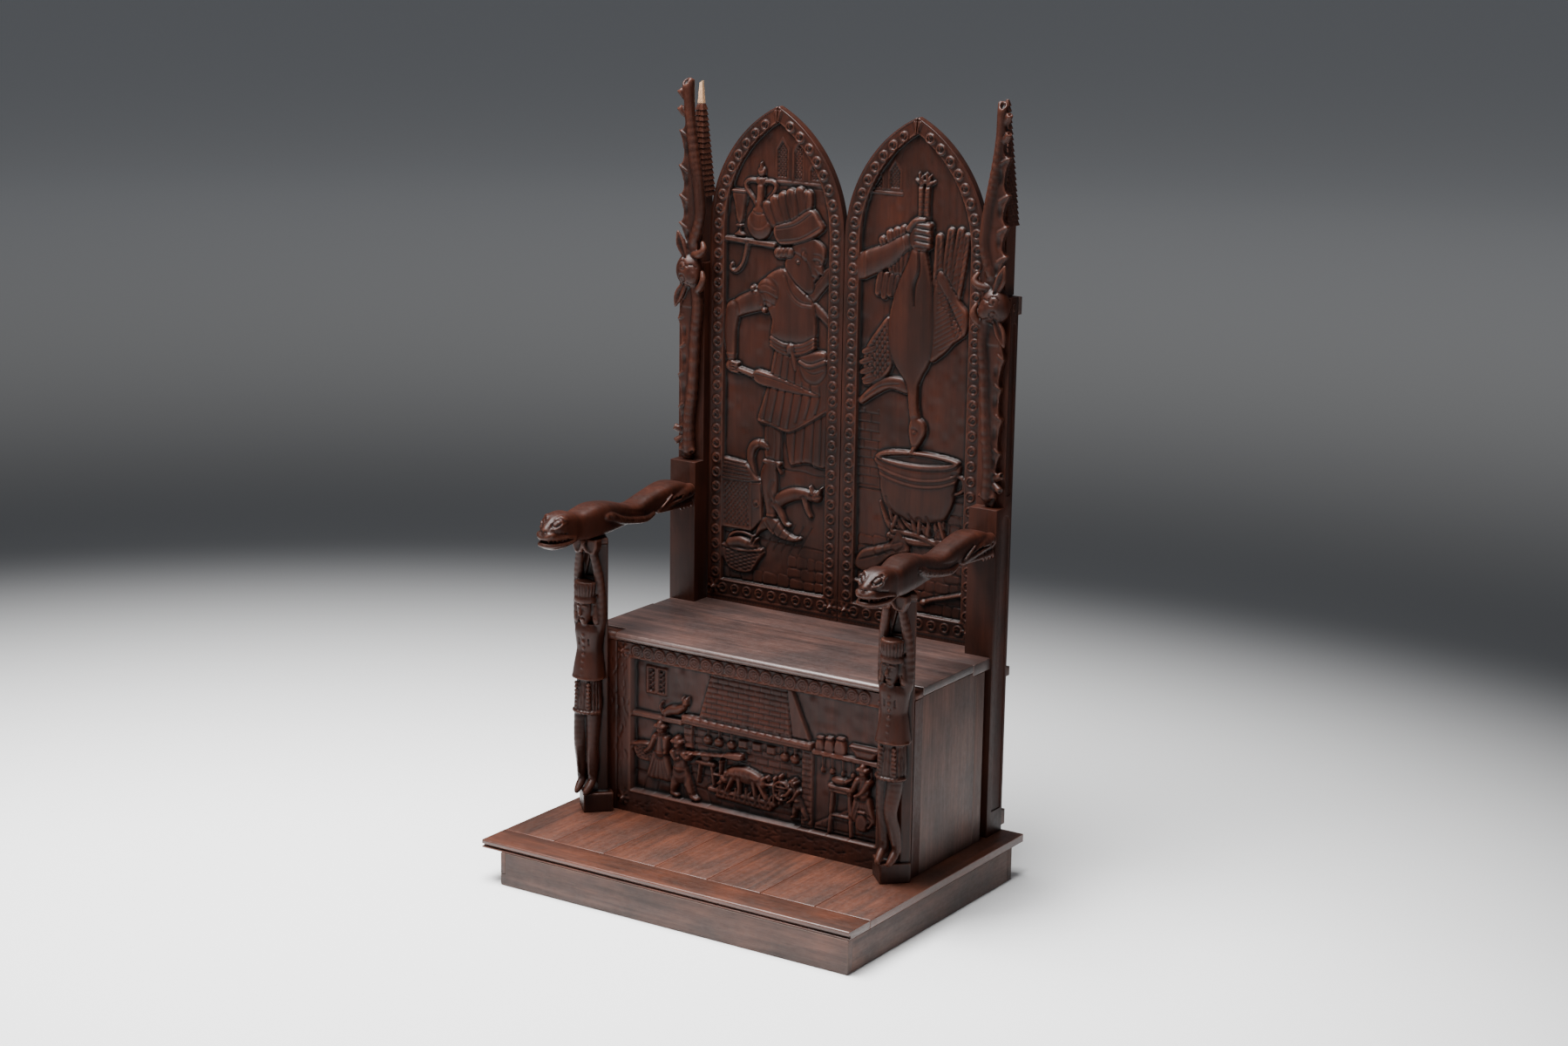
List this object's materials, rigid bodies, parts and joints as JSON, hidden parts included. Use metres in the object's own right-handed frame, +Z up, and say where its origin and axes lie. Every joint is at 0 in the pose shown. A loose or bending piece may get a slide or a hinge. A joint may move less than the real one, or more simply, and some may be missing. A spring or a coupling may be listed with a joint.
{
  "type": "carved throne",
  "caption": "Carved wooden throne on a dais: hollow chest seat with lift-off lid, lancet back panels, spired posts, beast armrests on standing bearers.",
  "frame": {"origin": "centre of the bounding box at floor level", "axes": "+Z up, the seat faces -Y, +X towards the sitter's left"},
  "size_m": [1.029, 0.7994, 1.853],
  "materials": {
    "carved_wood": "dark red-brown stain, satin wax, worn on the raised carving",
    "lid_wood": "purplish brown stain, smooth satin",
    "deck_wood": "red-brown, scuffed satin",
    "skirt_wood": "dull grey-brown",
    "side_wood": "greyish brown stain, satin"
  },
  "bodies": {
    "root": {"dais_skirt_front": "skirt_wood", "dais_skirt_left": "skirt_wood", "dais_skirt_right": "skirt_wood", "dais_skirt_back": "skirt_wood", "deck_front_board": "deck_wood", "deck_plank_1": "deck_wood", "deck_plank_2": "deck_wood", "deck_plank_3": "deck_wood", "deck_plank_4": "deck_wood", "deck_plank_5": "deck_wood", "deck_plank_6": "deck_wood", "deck_plank_7": "deck_wood", "chest_side_left": "side_wood", "chest_stile_left": "side_wood", "chest_side_right": "side_wood", "chest_stile_right": "side_wood", "chest_bottom": "side_wood", "chest_back": "side_wood", "seat_lid": "lid_wood", "seat_rear_strip": "lid_wood", "rear_post_left": "carved_wood", "rear_post_right": "carved_wood", "back_batten_low": "side_wood", "back_batten_mid": "side_wood", "back_batten_top": "side_wood", "back_panel_left": "carved_wood", "back_panel_right": "carved_wood", "chest_front": "carved_wood", "arm_beast_left": "carved_wood", "bearer_left": "carved_wood", "bat_left": "carved_wood", "arm_beast_right": "carved_wood", "bearer_right": "carved_wood", "bat_right": "carved_wood"}
  },
  "joints": []
}
